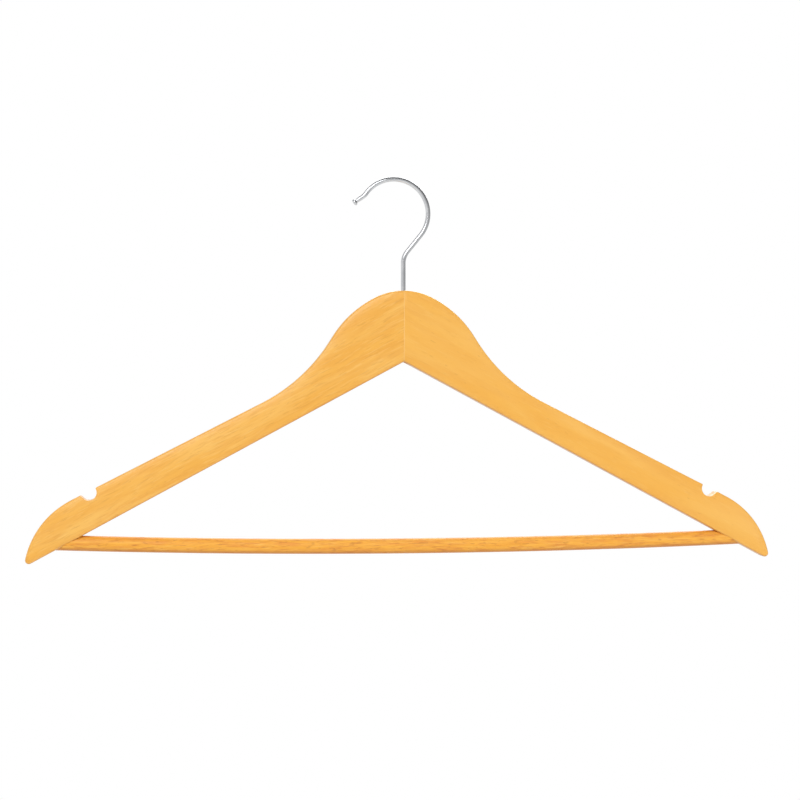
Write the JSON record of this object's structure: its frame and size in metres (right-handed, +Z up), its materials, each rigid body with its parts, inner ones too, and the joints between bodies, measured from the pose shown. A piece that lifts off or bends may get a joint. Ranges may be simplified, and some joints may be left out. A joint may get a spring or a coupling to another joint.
{
  "type": "clothes hanger",
  "caption": "Wooden clothes hanger with notched contoured shoulders, a round trouser bar and a swivelling chromed wire hook.",
  "frame": {"origin": "on the hook's swivel axis, where the inner side of the hook rests on a rail; the wooden frame is symmetric about X = 0", "axes": "+X along the shoulders to the hanger's right as seen from the front, +Y through the thickness to the back, +Z up; the hook's mouth opens towards -X at rest"},
  "size_m": [0.445, 0.012, 0.2288],
  "materials": {
    "lacquered_wood": "clear honey lacquer, satin gloss",
    "lacquered_dowel": "clear honey lacquer over coarser grain",
    "chromed_wire": "bright chrome plate",
    "zinc_steel": "zinc plated"
  },
  "bodies": {
    "hook": {"hook": "chromed_wire"},
    "frame": {"left_arm": "lacquered_wood", "right_arm": "lacquered_wood", "trouser_bar": "lacquered_dowel", "hook_washer": "zinc_steel", "bar_brad_left": "zinc_steel", "bar_brad_right": "zinc_steel"}
  },
  "joints": [
    {"name": "hook_swivel", "type": "hinge", "parent": "hook", "child": "frame", "pos_m": [0, 0, -0.08249], "axis": [0, 0, 1], "continuous": true}
  ]
}
